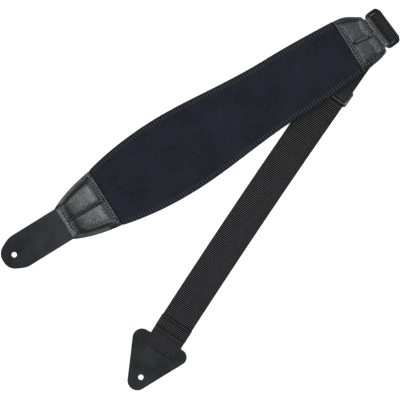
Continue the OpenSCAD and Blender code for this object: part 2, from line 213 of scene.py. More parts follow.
def settle(name, mesh, look, body, node, sharp=50):
    """A finished mesh as a piece: shaded smooth up to an angle, in its material, and riding on its body."""
    mesh.shade_smooth()
    mesh.set_sharp_from_angle(angle=math.radians(sharp))
    mesh.materials.clear()
    mesh.materials.append(look.material)
    piece = stand(name, mesh)
    if body:
        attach(piece, body)
    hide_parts(node)
    return piece


def make_mesh(name, points, faces, look, body, node, weave=None, sharp=50):
    """One piece from an array of points and a list of faces. weave is three numbers for each point."""
    mesh = bpy.data.meshes.new(name)
    mesh.from_pydata(points.reshape(-1, 3).tolist(), [], faces)
    # On the pad and the caps this attribute carries the masks of painted shade and painted highlight at the stitches.
    if weave is not None:
        mesh.attributes.new("weave", "FLOAT_VECTOR", "POINT").data.foreach_set("vector", weave.ravel())
    return settle(name, mesh, look, body, node, sharp)


def grid_faces(n, m, loop_n=False):
    """The quads of an n by m grid that closes round in its second direction, and in its first if asked."""
    i, j = np.meshgrid(np.arange(n if loop_n else n - 1), np.arange(m), indexing="ij")
    k, l = (i + 1) % n, (j + 1) % m
    return np.stack([i * m + j, i * m + l, k * m + l, k * m + j], -1).reshape(-1, 4).tolist()


def resample(curve, count):
    """A closed curve's points, spaced evenly along its length."""
    curve = np.vstack([curve, curve[:1]])
    length = np.concatenate([[0], np.cumsum(np.linalg.norm(np.diff(curve, axis=0), axis=1))])
    at = np.arange(count) / count * length[-1]
    return np.stack([np.interp(at, length, curve[:, axis]) for axis in (0, 1)], -1)


def offset(curve, distance):
    """A closed anticlockwise curve moved to its left, which is inwards, by distance."""
    along = np.roll(curve, -1, 0) - np.roll(curve, 1, 0)
    along /= np.linalg.norm(along, axis=1, keepdims=True)
    return curve + distance * np.stack([-along[:, 1], along[:, 0]], -1)


def plate(outer, inner, rest, thick):
    """A flat plate with one hole as a grid that closes both ways. Round the outline it follows the two curves;
    across, it goes over the outer rounded edge, over the top to the hole, down the hole and back below."""
    turn = np.linspace(0, math.pi / 2, 5)
    fall = [(TAB_EDGE * (1 - math.cos(a)), thick - TAB_EDGE * (1 - math.sin(a))) for a in turn]
    rings = [(offset(outer, back), height) for back, height in fall]
    first, last = offset(outer, TAB_EDGE), offset(inner, -TAB_EDGE)
    rings += [(first + (last - first) * s, thick) for s in np.linspace(0, 1, 26)[1:-1] ** 1.3]
    rings += [(offset(inner, -back), height) for back, height in fall[::-1]]
    rings += [(curve, thick - height) for curve, height in rings[::-1]]
    return np.stack([np.column_stack([curve, rest(curve) + height]) for curve, height in rings], 1)


def bezier(a, b, c, d, t):
    """The cubic curve through a and d that b and c pull on."""
    a, b, c, d = (np.array(p, float) for p in (a, b, c, d))
    t = t[:, None]
    return a * (1 - t) ** 3 + 3 * b * (1 - t) ** 2 * t + 3 * c * (1 - t) * t ** 2 + d * t ** 3


def harness_leather(name, dark, light, grain, roughness, painted_highlight_span=(1, 2)):
    """Dyed leather: pebbled grain, cloudy dye and a dull wax finish, painted lighter from one X to another as a
    painted highlight.
    """
    look = Look(name, Specular_IOR_Level=0.13)
    cloud = look.noise(38, 5, 0.62)
    pores = look.cells(grain)
    creases = look.noise(520, 4, 0.6)
    # Lighter along X across the given span: a painted highlight.
    share = (cloud * 0.75 + pores * 0.35).between(0.28, 0.72) * 0.6 + look.part("X").between(*painted_highlight_span) * 0.6
    look.feed(Base_Color=look.mix(share.clipped(), dark, light),
              Roughness=roughness - 0.16 * cloud.between(0.4, 0.7) + 0.1 * pores)
    return look.bump(pores * 0.6 + creases * 0.5 + look.noise(60, 2) * 0.8, 0.00022)


t = np.linspace(0, 1, 24)
nose = bezier((-0.019, 0), (-0.019, 0.0095), (-0.015, 0.0155), (-0.008, 0.0192), t)
shoulder = bezier((-0.008, 0.0192), (-0.001, 0.0229), (0.005, TAB_HALF), (0.012, TAB_HALF), t)
a = np.linspace(math.pi / 2, 0, 6)
corner = np.array((TAB_END, TAB_HALF)) - TAB_CORNER * (1 - np.column_stack([np.cos(a), np.sin(a)]))
upper = np.vstack([nose, shoulder[1:], corner])
tab_outer = resample(np.vstack([upper, upper[:0:-1] * (1, -1)])[::-1], 220)


def round_hole(outer, centre, radius):
    """Points of a circle, one for each point of the outer curve, in the same direction from the centre."""
    way = np.arctan2(outer[:, 1] - centre[1], outer[:, 0] - centre[0])
    return np.array(centre) + radius * np.column_stack([np.cos(way), np.sin(way)])


def cut_box(piece, sides, placed):
    """Cuts a box out of a piece for good: the one between three pairs of x, y and z, put in its place."""
    corners = placed(np.array([(x, y, z) for x in sides[0] for y in sides[1] for z in sides[2]]))
    cutter = stand("cutter", bpy.data.meshes.new("cutter"))
    cutter.data.from_pydata(corners.tolist(), [], [(0, 1, 3, 2), (4, 6, 7, 5), (0, 4, 5, 1), (2, 3, 7, 6),
                                                   (0, 2, 6, 4), (1, 5, 7, 3)])
    cut = piece.modifiers.new("cut", "BOOLEAN")
    cut.object, cut.operation, cut.solver = cutter, "DIFFERENCE", "EXACT"
    bpy.context.view_layer.update()
    piece.data = bpy.data.meshes.new_from_object(piece.evaluated_get(bpy.context.evaluated_depsgraph_get()))
    piece.modifiers.clear()
    bpy.data.objects.remove(cutter)


def tab_back(curve):
    """The tab's underside: on the table, then up on to the cap's back."""
    return CAP_THICK * smooth(CAP_X - 0.03, CAP_X - 0.008, curve[:, 0])


# The tab is painted lighter from x = 12 mm towards the cap at 85 mm: a painted highlight.
tab_look = harness_leather("charcoal_leather", (0.0055, 0.0052, 0.0065), (0.030, 0.0295, 0.0350), 1500, 0.5,
                           (0.012, 0.085))
points = plate(tab_outer, round_hole(tab_outer, (0, 0), HOLE_R), tab_back, TAB_THICK)
tab = make_mesh("leather_tab", points, grid_faces(*points.shape[:2], loop_n=True), tab_look, None,
                "tab_leather")
cut_box(tab, SLIT, lambda box: box + box[:, 2:] * (0, SLIT_SLANT, 0))
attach(tab, "root")


# ---------------------------------------------------------------- pad
# The shoulder pad: a leaf-shaped sheet of black neoprene foam between a navy-black knitted face and a backing
# of the same cloth, sewn round its edge with two rows of bonded thread. Where the webbing runs below it, the
# pad rides up over it. The face is blown up as cloth between its seams, so that it crowns as the foam does.
PAD_THICK = 0.0057
FACE_THICK = 0.0006
PAD_ENDS = (0.113, 0.6215)
PAD_SEEN = (0.159, 0.578)
PAD_WIDEST = (0.278, 0.061)
PAD_WAIST = (0.463, 0.049)
TAB_CAP_HALF = (0.027, 0.0467)
RING_CAP_HALF = (0.0435, 0.0305)
TONGUE_X = 0.6215
SEAM_ROWS = (0.0038, 0.0067)
STITCH_PITCH = 0.0046
RISE = (0.350, 0.455, 0.0085)
CLOTH_PRESSURE = 4
CLOTH_FRAMES = 20
PAD_SWELL = 0.0011
PAD_STITCH = (STITCH_PITCH, 0.0028, 0.0004)


def hermite(a, b, fa, fb, sa, sb, x):
    """A cubic from (a, fa) to (b, fb) that leaves with slope sa and arrives with slope sb."""
    h = b - a
    t = np.clip((x - a) / h, 0, 1)
    u, v = t * t, t * t * t
    return fa * (2 * v - 3 * u + 1) + sa * h * (v - 2 * u + t) + fb * (3 * u - 2 * v) + sb * h * (v - u)


def tab_cap_half(x):
    """Half the tab cap's width at x."""
    return hermite(CAP_X, PAD_SEEN[0], *TAB_CAP_HALF, 0.48, 0.12, x)


def ring_cap_half(x):
    """Half the ring cap's width at x, as far as its tongue."""
    return hermite(PAD_SEEN[1], TONGUE_X, *RING_CAP_HALF, -0.02, -0.62, x)


def pad_half(x):
    """Half the pad's width at x: two cubics from cap to cap, and drawn in under the caps."""
    open_half = np.where(
        x < PAD_WIDEST[0],
        hermite(PAD_SEEN[0], PAD_WIDEST[0], TAB_CAP_HALF[1] + 0.0006, PAD_WIDEST[1], 0.25, 0, x),
        np.where(x < PAD_WAIST[0],
                 hermite(PAD_WIDEST[0], PAD_WAIST[0], PAD_WIDEST[1], PAD_WAIST[1], 0, 0, x),
                 hermite(PAD_WAIST[0], PAD_SEEN[1], PAD_WAIST[1], RING_CAP_HALF[0] + 0.0006, 0, -0.07, x)))
    in_tab_cap = tab_cap_half(x) - 0.0035 - 0.0085 * (1 - smooth(0.132, 0.157, x))
    in_ring_cap = ring_cap_half(x) - 0.0035 - 0.0075 * smooth(0.580, 0.597, x)
    return np.where(x < PAD_SEEN[0], in_tab_cap, np.where(x > PAD_SEEN[1], in_ring_cap, open_half))


def lift(x):
    """How high the pad's underside is: on the tab cap's back, on the table, and up over the adjuster."""
    return CAP_THICK * (1 - smooth(0.165, 0.205, x)) + RISE[2] * smooth(RISE[0], RISE[1], x)


def band(centre, side, across, high, low, up=(0, 0, 1)):
    """A strip as a grid of rings: point = centre + side * across + up * height. Each ring crosses the top from
    left to right and comes back below. Returns the points, one ring to each row."""
    side, up = side[:, None], np.broadcast_to(up, centre.shape)[:, None]
    top = centre[:, None] + side * across[..., None] + up * high[..., None]
    under = centre[:, None] + side * across[..., None] + up * low[..., None]
    return np.concatenate([top, under[:, ::-1]], 1)


def band_faces(n, m):
    """The quads of n rings of m points, and the strips of quads that close the first and the last ring."""
    k = np.arange(m // 2 - 1)
    end = np.stack([k, k + 1, m - 2 - k, m - 1 - k], -1)
    return grid_faces(n, m) + end[:, ::-1].tolist() + (end + (n - 1) * m).tolist()


def rounded(inset, radius):
    """How far a surface has dropped at that distance in from an edge of that radius."""
    return radius - np.sqrt(radius ** 2 - (radius - np.clip(inset, 0, radius)) ** 2)


def columns(half, edge, middle):
    """Places across a strip of that half width at each station: edge holds the distances in from the edge,
    and between the two sides' innermost ones there are middle more, evenly spaced."""
    edge = np.array(edge)
    inner = (half - edge[-1])[:, None] * np.linspace(1, -1, middle + 2)[1:-1]
    return np.concatenate([half[:, None] - edge, inner, edge[::-1] - half[:, None]], 1)


def straight(x):
    """The centre line along +X and its side direction, at each station."""
    return np.column_stack([x, 0 * x, 0 * x]), np.tile((0.0, 1.0, 0.0), (len(x), 1))


def inflate(name, points, held, most):
    """Where closed cloth of that shape goes when it is blown up: how far each point moves, eased off towards
    most. The held points stay. Points are rings, as band makes them."""
    n, m = points.shape[:2]
    mesh = bpy.data.meshes.new(name)
    mesh.from_pydata(points.reshape(-1, 3).tolist(), [], band_faces(n, m))
    cloth = stand(name, mesh)
    cloth.vertex_groups.new(name="held").add(np.flatnonzero(held).tolist(), 1.0, "REPLACE")
    settings = cloth.modifiers.new("cloth", "CLOTH").settings
    settings.vertex_group_mass = "held"
    settings.use_pressure = True
    settings.uniform_pressure_force = CLOTH_PRESSURE
    settings.effector_weights.gravity = 0
    for number in range(1, CLOTH_FRAMES + 1):
        bpy.context.scene.frame_set(number)
    moved = np.empty(n * m * 3)
    cloth.evaluated_get(bpy.context.evaluated_depsgraph_get()).data.vertices.foreach_get("co", moved)
    moved = moved.reshape(n, m, 3) - points
    bpy.context.scene.frame_set(1)
    bpy.data.objects.remove(cloth)
    bpy.data.meshes.remove(mesh)
    far = np.linalg.norm(moved, axis=-1, keepdims=True) + 1e-9
    return moved * np.tanh(far / most) * most / far


def swell(name, ends, stations, half, width, height, low, held, most):
    """How far a padded top rises when it is blown up, as a function of x and of the place across from 1 to -1,
    which interpolates a grid of that many stations and places."""
    x = np.linspace(*ends, stations)
    across = half(x)[:, None] * np.linspace(1, -1, width)
    xx = np.broadcast_to(x[:, None], across.shape)
    fixed = held(xx, across)
    points = band(*straight(x), across, height(xx, across), low(xx, across))
    rise = inflate(name, points, np.concatenate([fixed, np.ones_like(fixed)], 1), most)[:, :width, 2]

    def at(x, v):
        i = np.clip((x - ends[0]) / (ends[1] - ends[0]), 0, 1) * (stations - 1)
        j = np.clip((1 - v) / 2, 0, 1) * (width - 1)
        i0, j0 = np.minimum(i.astype(int), stations - 2), np.minimum(j.astype(int), width - 2)
        u, w = i - i0, j - j0
        return ((rise[i0, j0] * (1 - u) + rise[i0 + 1, j0] * u) * (1 - w)
                + (rise[i0, j0 + 1] * (1 - u) + rise[i0 + 1, j0 + 1] * u) * w)
    return at


def pad_under(x, y):
    """The pad's underside."""
    return lift(x) + 0 * y


def pad_flat(x, y):
    """The pad's top before it swells."""
    return pad_under(x, y) + PAD_THICK


pad_rise = swell("pad_cloth", PAD_SEEN, 85, pad_half, 31, pad_flat, pad_under,
                 lambda x, y: (pad_half(x) - abs(y) < 0.0085) | (x < 0.163) | (x > 0.574), PAD_SWELL)


def pucker(inset, along, row, depth, pitch=STITCH_PITCH):
    """The dip that a row of stitches pulls: deepest at each stitch, a small bump between two, gone 2 mm away."""
    return depth * np.exp(-((inset - row) / 0.0011) ** 2) * (0.4 + 0.6 * np.cos(2 * math.pi * along / pitch))


def stitch_shade_masks(inset, along, row):
    """Painted shade and painted highlight along a row of stitches: a mask for painted shade at each stitch (first
    number) and one for a painted highlight on the bump between two (second).
    """
    near = np.exp(-((inset - row) / 0.0013) ** 2)
    wave = 0.5 + 0.5 * np.cos(2 * math.pi * along / STITCH_PITCH)
    return np.stack([near * wave ** 1.3, near * (1 - wave) ** 1.3, 0 * near], -1)


def pad_stitch_shade_masks(x, y):
    """The painted shade and painted highlight masks of the pad's seams."""
    shown = ((x > PAD_SEEN[0] + 0.002) & (x < PAD_SEEN[1] - 0.002))[..., None]
    return sum(stitch_shade_masks(pad_half(x) - abs(y), x, row) for row in SEAM_ROWS) * shown


def pad_top(x, y):
    """The pad's face: flat foam, its swell, a thinner sewn margin and the pucker of both seams."""
    half = pad_half(x)
    inset = half - abs(y)
    shown = (x > PAD_SEEN[0] - 0.001) & (x < PAD_SEEN[1] + 0.001)
    top = pad_flat(x, y) + pad_rise(x, y / half) - 0.0009 * (1 - smooth(0.005, 0.012, inset)) * shown
    for row in SEAM_ROWS:
        top = top - pucker(inset, x, row, 0.0008) * shown
    return top


def stitches(name, spot, reach, size, look, body, node):
    """A row of lock stitches on the line of points that spot gives, one at each whole pitch within reach. Each is
    a short thread, bowed up in the middle and diving at both ends: up * (bow - sink * u^2) + radius * circle.
    size holds the pitch, a stitch's length and its thread's radius."""
    pitch, length, radius = size
    at = np.arange(math.ceil(reach[0] / pitch), math.floor(reach[1] / pitch) + 1) * pitch
    count, rings, sides = len(at), 7, 6
    u = np.linspace(-1, 1, rings)
    spine = spot((at[:, None] + u * length / 2).ravel()).reshape(count, rings, 3)
    along = spot(at + length / 4) - spot(at - length / 4)
    along /= np.linalg.norm(along, axis=1, keepdims=True)
    beside = np.cross(UP, along)
    over = np.cross(along, beside)
    spine = spine + over[:, None] * (radius * (0.75 - 1.7 * u ** 2))[:, None]
    thick = radius * np.sqrt(1.05 - 0.75 * u ** 4)[:, None]
    a = np.linspace(0, 2 * math.pi, sides + 1)[:-1]
    circle = beside[:, None, None] * np.cos(a)[:, None] + over[:, None, None] * np.sin(a)[:, None]
    points = spine[:, :, None] + circle * thick[..., None]
    shift = np.arange(count)[:, None, None] * sides * rings
    ends = np.array([np.arange(sides)[::-1], np.arange(sides) + sides * (rings - 1)]) + shift
    faces = (np.array(grid_faces(rings, sides)) + shift).reshape(-1, 4).tolist() + ends.reshape(-1, sides).tolist()
    return make_mesh(name, points, faces, look, body, node, sharp=80)


def thread(name, dark, light, shine, pitch, way):
    """Bonded thread: two plies twisted together at that pitch, one way (1) or the other (-1), with painted shade in
    the grooves between them."""
    look = Look(name, Specular_IOR_Level=shine, Roughness=0.6)
    slant = look.part("X") + look.part("Y") if way > 0 else look.part("X") - look.part("Y")
    twist = (slant * (2 * math.pi / pitch)).sine()
    # Darker in the grooves between the plies: painted shade.
    look.feed(Base_Color=look.mix(twist, dark, light))
    return look.bump(twist, 0.0001)


def with_stitch_shading(look, colour, hole, bump):
    """A cloth colour with painted stitch shading: towards the first colour as painted shade at each stitch, and
    towards the second as a painted highlight on the bumps between two.
    """
    marks = look.node("Attribute", {"attribute_name": "weave"}, {}, "Vector")
    return look.mix(look.part("X", marks) * 0.95, look.mix(look.part("Y", marks) * 0.85, colour, bump), hole)


def knit(name, dark, light):
    """Fine laminated jersey: tiny loops in columns, a soft nap, and a cloudy, slightly bluish black."""
    look = Look(name, Roughness=0.95, Specular_IOR_Level=0.18, Sheen_Weight=0.12, Sheen_Roughness=0.4)
    grain = look.noise(900, 3, 0.8)
    speck = look.noise(330, 2, 0.7)
    cloud = look.noise(24, 3)
    colour = look.mix((grain * 0.55 + speck * 0.5 + cloud * 0.35).between(0.45, 0.95), dark, light)
    # Near black at each stitch as painted shade, and lighter on the bumps between as a painted highlight.
    look.feed(Base_Color=with_stitch_shading(look, colour, (0.0008, 0.0008, 0.001), (0.075, 0.075, 0.086)))
    loops = (look.part("X") * (2 * math.pi / 0.00085)).sine() * (look.part("Y") * (2 * math.pi / 0.0011)).sine()
    return look.bump(loops * 0.3 + grain * 0.9, 0.00012)


face_look = knit("navy_jersey", (0.0075, 0.0078, 0.0125), (0.0225, 0.0228, 0.034))
backing_look = knit("black_jersey", (0.007, 0.007, 0.009), (0.018, 0.018, 0.022))
foam_look = Look("neoprene_foam", Roughness=0.9, Specular_IOR_Level=0.2)
foam_cells = foam_look.cells(2600)
foam_look.feed(Base_Color=foam_look.mix(foam_cells, (0.004, 0.004, 0.0045), (0.011, 0.011, 0.012)))
foam_look.bump(foam_cells, 0.0002)
thread_look = thread("bonded_thread", (0.002, 0.002, 0.003), (0.008, 0.008, 0.011), 0.4, 0.0007, 1)
thread_look.feed(Roughness=0.55 + 0.1 * thread_look.noise(700))


PAD_EDGE = (0.00003, 0.0001, 0.00025, 0.0005, 0.0009, 0.0016, 0.0024, 0.003, 0.0034, 0.0038, 0.0042, 0.0046,
            0.0052, 0.0058, 0.0063, 0.0067, 0.0071, 0.0076, 0.0085, 0.010, 0.012)


def layer(name, x, half, frame_at, edge, middle, high, low, radius, look, node, marks=None, ends=False):
    """One layer between two height functions of x and of the place across. frame_at gives the centre line and
    the side direction. Its sides, and its ends if asked, are rounded to radius."""
    across = columns(half(x), edge, middle)
    xx = np.broadcast_to(x[:, None], across.shape)
    inset = half(x)[:, None] - abs(across)
    if ends:
        inset = np.minimum(inset, np.minimum(x - x[0], x[-1] - x)[:, None] + 0.00004)
    top, under = high(xx, across), low(xx, across)
    drop = rounded(inset, np.minimum(radius, (top - under) / 2 - 0.00001) if ends else radius)
    points = band(*frame_at(x), across, top - drop, under + drop)
    # The stitch masks of painted shade and painted highlight, stored in the weave attribute.
    if marks:
        marks = marks(xx, across)
        marks = np.concatenate([marks, 0 * marks], 1)
    return make_mesh(name, points, band_faces(*points.shape[:2]), look, "root", node, marks)


def face_under(x, y):
    """The underside of the pad's face cloth."""
    return pad_top(x, y) - FACE_THICK


def backing_top(x, y):
    """The upper side of the pad's backing cloth."""
    return pad_under(x, y) + FACE_THICK


fine, coarse = np.arange(*PAD_ENDS, 0.00115), np.arange(*PAD_ENDS, 0.004)
layer("pad_face", fine, pad_half, straight, PAD_EDGE, 16, pad_top, face_under, FACE_THICK / 2, face_look,
      "pad_face", pad_stitch_shade_masks)
foam = layer("pad_foam", coarse, pad_half, straight, PAD_EDGE[::2], 16, face_under, backing_top, 0.0005, foam_look,
             "pad_core")
layer("pad_backing", coarse, pad_half, straight, PAD_EDGE[::2], 16, backing_top, pad_under, FACE_THICK / 2,
      backing_look, "pad_backing")

for number, row in enumerate(SEAM_ROWS):
    for mark, way in (("left", 1), ("right", -1)):
        def on_pad(x, way=way, row=row):
            y = way * (pad_half(x) - row)
            return np.column_stack([x, y, pad_top(x, y)])
        stitches(f"pad_seam_{mark}_{number + 1}", on_pad, (PAD_SEEN[0] + 0.003, PAD_SEEN[1] - 0.003), PAD_STITCH,
                 thread_look, "root", "pad_stitching")


# ---------------------------------------------------------------- tab cap
# Two pieces of glossy black synthetic leather hold the tab and the pad's end. Foam under the front one puffs it
# into two panels. Its edge is folded under and sewn 7 mm in, a seam runs up its middle, and the pad-side edge
# is a raised hem with its own stitches.
CAP_OVER_PAD = 0.0009
CAP_ROW = 0.007
CAP_STITCH = (STITCH_PITCH, 0.0027, 0.00048)
CAP_SWELL = 0.0024
HEM = 0.0034
HEM_FALL = 0.0010
WELT = (0.0019, 0.0011)
FOAM_INSET = 0.0125
TAB_SEAM = (0.096, 0.1535)
TAB_ROWS = ((CAP_X + CAP_ROW, 0.0011), (PAD_SEEN[0] - 0.0046, 0.0010))
CAP_EDGE = (0.00004, 0.00015, 0.0004, 0.0008, 0.0014, 0.0022, 0.0034, 0.0046, 0.0054, 0.006, 0.0065, 0.007, 0.0075,
            0.008, 0.0088, 0.010, 0.0115, 0.0135)


def tab_cap_panel(x, y):
    """1 on the two puffed panels of the tab cap, 0 on its hems and seams."""
    inset = tab_cap_half(x) - abs(y)
    return (smooth(0.0070, 0.0165, inset) * smooth(0.0078, 0.026, x - CAP_X)
            * smooth(0.0048, 0.0135, PAD_SEEN[0] - x))


def hem_shape(inset, from_pad):
    """A cap's edges: a welt along the pad's side, and a fall towards the outline."""
    return 0.0006 * np.exp(-((from_pad - WELT[0]) / WELT[1]) ** 2), HEM_FALL * (1 - smooth(0, 0.0058, inset))


def tab_cap_rest(x, y):
    """The tab cap's front before it swells: a low hem at the sides, over the tab, the foam and the pad's end."""
    inset = tab_cap_half(x) - abs(y)
    hem = HEM + (CAP_THICK + PAD_THICK + CAP_OVER_PAD - HEM) * smooth(0.138, 0.1575, x)
    low = hem + 0.0021 * (1 - smooth(0.0235, 0.0275, abs(y))) * (1 - smooth(0.108, 0.118, x))
    full = CAP_THICK * 2 + TAB_THICK + (PAD_THICK - TAB_THICK + 0.0011) * smooth(CAP_X + 0.004, 0.112, x)
    base = low + (full - low) * smooth(0.004, 0.012, inset) * smooth(0.004, 0.020, x - CAP_X)
    welt, fall = hem_shape(inset, PAD_SEEN[0] - x)
    return base + (0.0006 + 0.0014 * smooth(0.098, 0.142, x)) * tab_cap_panel(x, y) + welt - fall


def on_seam(x, y, seam, reach):
    """1 on the seam between a cap's two panels, falling to 0 at that reach beside it and 4 mm past its ends."""
    return (np.exp(-(y / reach) ** 2) * smooth(seam[0] - 0.004, seam[0], x)
            * (1 - smooth(seam[1], seam[1] + 0.004, x)))


def cap_swell(name, ends, stations, half, rest, low, panel):
    """How far a cap's panels rise, held at their edges and along the middle seam."""
    return swell(name, ends, stations, half, 41, rest, low,
                 lambda x, y: (panel(x, y) < 0.12) | (abs(y) < 0.0018), CAP_SWELL)


def cap_dips(x, y, half, seam, groove, rows, sides):
    """The dips of a cap's stitching: its middle seam's groove (depth, reach and pucker), the rows across it
    (station and depth), and the rows down its sides, as deep as sides."""
    inset = half(x) - abs(y)
    middle = groove[0] * on_seam(x, y, seam, groove[1]) + pucker(y, x, 0, groove[2]) * on_seam(x, y, seam, 0.003)
    across = sum(pucker(x, y, row, depth) for row, depth in rows) * smooth(0.004, 0.008, inset)
    return middle + across + pucker(inset, x, CAP_ROW, sides)


def cap_stitch_shade_masks(x, y, half, seam, rows, shown):
    """The painted shade and painted highlight masks of a cap's seams, as far as they are shown along it."""
    inset = half(x) - abs(y)
    marks = stitch_shade_masks(inset, x, CAP_ROW) + sum(stitch_shade_masks(x, y, row) for row, depth in rows)
    marks = marks + stitch_shade_masks(y, x, 0) * on_seam(x, y, seam, 0.003)[..., None]
    return marks * (smooth(0.005, 0.007, inset) * shown)[..., None]


tab_cap_rise = cap_swell("tab_cap_cloth", (CAP_X, PAD_SEEN[0]), 37, tab_cap_half, tab_cap_rest,
                         lambda x, y: 0 * x + 0.001, tab_cap_panel)


def tab_cap_top(x, y):
    """The tab cap's front: rest shape, swell, and the dips of its seams."""
    return (tab_cap_rest(x, y) + tab_cap_rise(x, y / tab_cap_half(x))
            - cap_dips(x, y, tab_cap_half, TAB_SEAM, (0.0026, 0.0023, 0.0010), TAB_ROWS,
                       0.0012 * smooth(0.005, 0.009, x - CAP_X)))


def tab_cap_under(x, y):
    """The front's underside: down to the cap's back at its sewn sides, a vinyl's thickness below it elsewhere."""
    sewn = ((1 - smooth(0.0045, 0.0075, tab_cap_half(x) - abs(y))) * (1 - smooth(0.130, 0.155, x))
            * smooth(0.0255, 0.029, abs(y)))
    return (tab_cap_top(x, y) - CAP_THICK) * (1 - sewn) + (CAP_THICK + 0.00002) * sewn


def tab_cap_stitch_shade_masks(x, y):
    """The painted shade and painted highlight masks of the tab cap's seams."""
    return cap_stitch_shade_masks(x, y, tab_cap_half, TAB_SEAM, TAB_ROWS,
                     smooth(0.005, 0.007, x - CAP_X) * smooth(0.003, 0.004, PAD_SEEN[0] - x))


def vinyl(name, dark, light):
    """Coated synthetic leather: a soft gloss, fine pebbles and long shallow wrinkles, with painted shade at each
    stitch and a greyer painted highlight on the bumps between.
    """
    look = Look(name, Specular_IOR_Level=0.62, Coat_Weight=0.12, Coat_Roughness=0.22)
    pebble = look.cells(1150)
    wrinkle = look.noise(95, 4, 0.6)
    cloud = look.noise(45, 3)
    colour = look.mix((cloud * 0.7 + wrinkle * 0.4).between(0.3, 0.8), dark, light)
    # Near black at each stitch as painted shade, and greyer on the bumps between as a painted highlight.
    look.feed(Base_Color=with_stitch_shading(look, colour, (0.001, 0.001, 0.001), (0.085, 0.09, 0.095)),
              Roughness=0.19 + 0.1 * cloud + 0.08 * pebble)
    return look.bump(pebble * 0.35 + wrinkle * 1.7 + look.noise(420, 3) * 0.35, 0.00032)


vinyl_look = vinyl("black_vinyl", (0.0050, 0.0056, 0.0066), (0.0120, 0.0132, 0.0152))
vinyl_back_look = vinyl("black_vinyl_back", (0.006, 0.0065, 0.007), (0.012, 0.013, 0.014))
cap_foam_look = Look("cap_foam", Roughness=0.95)
cap_foam_look.feed(Base_Color=cap_foam_look.mix(cap_foam_look.cells(1800), (0.05, 0.05, 0.055), (0.12, 0.12, 0.125)))
cap_thread_look = thread("cap_thread", (0.0022, 0.0022, 0.0025), (0.007, 0.007, 0.008), 0.35, 0.0008, -1)
cap_thread_look.feed(Roughness=0.6 + 0.1 * cap_thread_look.noise(600))


def with_ends(low, high, step, edge=np.array((0.00015, 0.0004, 0.0008))):
    """Stations from low to high, closer together at both ends for the rounded edges."""
    return np.concatenate([[low], low + edge, np.arange(low + 0.0014, high - 0.0014, step), high - edge[::-1], [high]])


def sewn_cap(name, half, frame_at, ends, steps, top, under, seat, marks, foam_ends, sides, rows, seam):
    """A cap's front, its back, whose top lies at seat(x), the foam under its panels, and its stitches: down
    both sides between two stations, across at each of rows, and along the middle seam. steps are the distances
    between stations of the front, the back and the foam."""
    layer(f"{name}_front", with_ends(*ends, steps[0]), half, frame_at, CAP_EDGE, 60, top, under, 0.0007,
          vinyl_look, f"{name}_front", marks, True)
    layer(f"{name}_back", with_ends(*ends, steps[1]), half, frame_at, CAP_EDGE, 8, lambda x, y: seat(x) + 0 * y,
          lambda x, y: seat(x) - CAP_THICK + 0 * y, 0.0005, vinyl_back_look, f"{name}_back", None, True)
    foam = layer(f"{name}_foam", with_ends(*foam_ends, steps[2]), lambda x: half(x) - FOAM_INSET, frame_at, CAP_EDGE,
                 12, lambda x, y: np.maximum(top(x, y) - CAP_THICK - 0.0001, pad_flat(x, y) + 0.0005), pad_flat,
                 0.0005, cap_foam_look, f"{name}_padding", None, True)
    lines = {"left": (lambda s: (s, half(s) - CAP_ROW), sides), "right": (lambda s: (s, CAP_ROW - half(s)), sides),
             "centre": (lambda s: (s, 0 * s), seam)}
    for number, (x, depth) in enumerate(rows):
        reach = half(np.array([x]))[0] - CAP_ROW
        lines[f"across_{number + 1}"] = (lambda s, x=x: (0 * s + x, s), (-reach, reach))
    for mark, (line, reach) in lines.items():
        def on_cap(s, line=line):
            x, y = line(s)
            centre, side = frame_at(x)
            return centre + side * y[:, None] + UP * top(x, y)[:, None]
        stitches(f"{name}_stitching_{mark}", on_cap, reach, CAP_STITCH, cap_thread_look, "root",
                 f"{name}_stitching")


sewn_cap("tab_cap", tab_cap_half, straight, (CAP_X, PAD_SEEN[0]), (0.0008, 0.004, 0.003), tab_cap_top, tab_cap_under,
         lift, tab_cap_stitch_shade_masks, (0.114, 0.1535), (CAP_X + 0.008, PAD_SEEN[0] - 0.006), TAB_ROWS, TAB_SEAM)


# ---------------------------------------------------------------- ring cap and keeper
# The same vinyl closes the pad's other end, drawn in to a tongue between the ring's arms. Inside the tongue a
# doubled strip of vinyl, the keeper, goes round the ring's inner bar and is sewn in above and below the pad.
ring_hinge = np.array(joints["ring_swing"]["pos_m"])
ring_side = -np.array(joints["ring_swing"]["axis"])
ring_ahead = np.cross(ring_side, UP)
RING_CAP_END = 0.6252
RING_HEM = 0.0035
RING_SEAM = (0.5885, 0.6185)
RING_ROW = 0.6204
RING_ROWS = ((PAD_SEEN[1] + 0.0040, 0.0009), (PAD_SEEN[1] + 0.0072, 0.0009), (RING_ROW, 0.0008))
KEEPER_HALF = 0.025
KEEPER_THICK = 0.0016
BAR_R = 0.00275


def ring_frame(x):
    """The ring cap's centre line, which drifts to the ring's middle, and its side direction, which turns with
    it, so that the cap's pad side is square to the pad and its tongue is square to the ring."""
    turn = smooth(0.590, TONGUE_X, x)[:, None]
    side = np.array((0, 1.0, 0)) * (1 - turn) + ring_side * turn
    side /= np.linalg.norm(side, axis=1, keepdims=True)
    return np.column_stack([x, ring_hinge[1] * turn[:, 0], 0 * x]), side


def tongue_half(x):
    """Half the ring cap's width, with its shoulders drawn in to the tongue."""
    return ring_cap_half(x) + (KEEPER_HALF - 0.0002 - RING_CAP_HALF[1]) * smooth(0.6190, 0.6224, x)


def ring_cap_panel(x, y):
    """1 on the two puffed panels of the ring cap, 0 on its hems and seams."""
    inset = tongue_half(x) - abs(y)
    return (smooth(0.0070, 0.0150, inset) * smooth(0.0080, 0.0155, x - PAD_SEEN[1])
            * smooth(0.0022, 0.013, 0.6225 - x))


